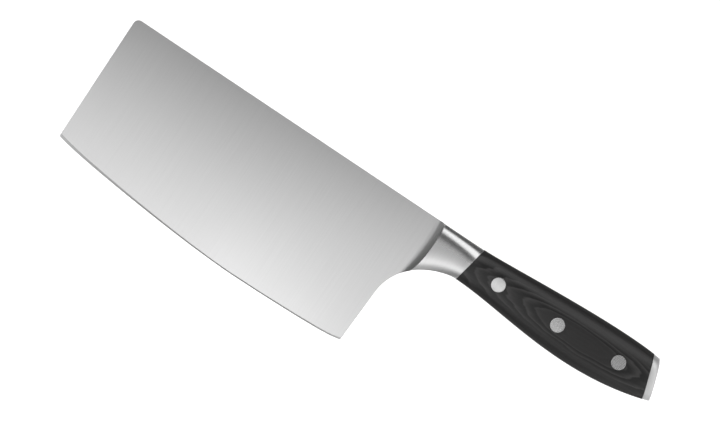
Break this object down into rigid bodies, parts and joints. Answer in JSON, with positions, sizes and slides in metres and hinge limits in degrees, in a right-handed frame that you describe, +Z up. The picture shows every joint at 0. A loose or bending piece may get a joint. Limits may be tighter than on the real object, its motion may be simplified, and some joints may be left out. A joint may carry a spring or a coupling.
{
  "type": "chinese cleaver",
  "caption": "Broad rectangular kitchen cleaver with a curved edge, full tang, steel bolster and end cap, and dark riveted handle scales.",
  "frame": {"origin": "middle of the knife's outline seen from the side, on the plane of the lower handle cheek", "axes": "+X from the blade towards the butt, +Y towards the spine, +Z up out of the left side of the blade; the knife lies on its right side"},
  "size_m": [0.319, 0.085, 0.018],
  "materials": {
    "blade_steel": "stainless steel, satin ground",
    "bolster_steel": "stainless steel, polished",
    "resin_wood": "black resin-impregnated wood laminate, satin polished, faint ring figure",
    "rivet_steel": "stainless steel, ground flush and polished",
    "cap_steel": "stainless steel, polished"
  },
  "bodies": {
    "root": {"blade_and_tang": "blade_steel", "bolster_left": "bolster_steel", "bolster_right": "bolster_steel", "scale_left": "resin_wood", "scale_right": "resin_wood", "rivet_front_stud": "rivet_steel", "rivet_front_sleeve": "rivet_steel", "rivet_middle_stud": "rivet_steel", "rivet_middle_sleeve": "rivet_steel", "rivet_rear_stud": "rivet_steel", "rivet_rear_sleeve": "rivet_steel", "end_cap": "cap_steel"}
  },
  "joints": []
}
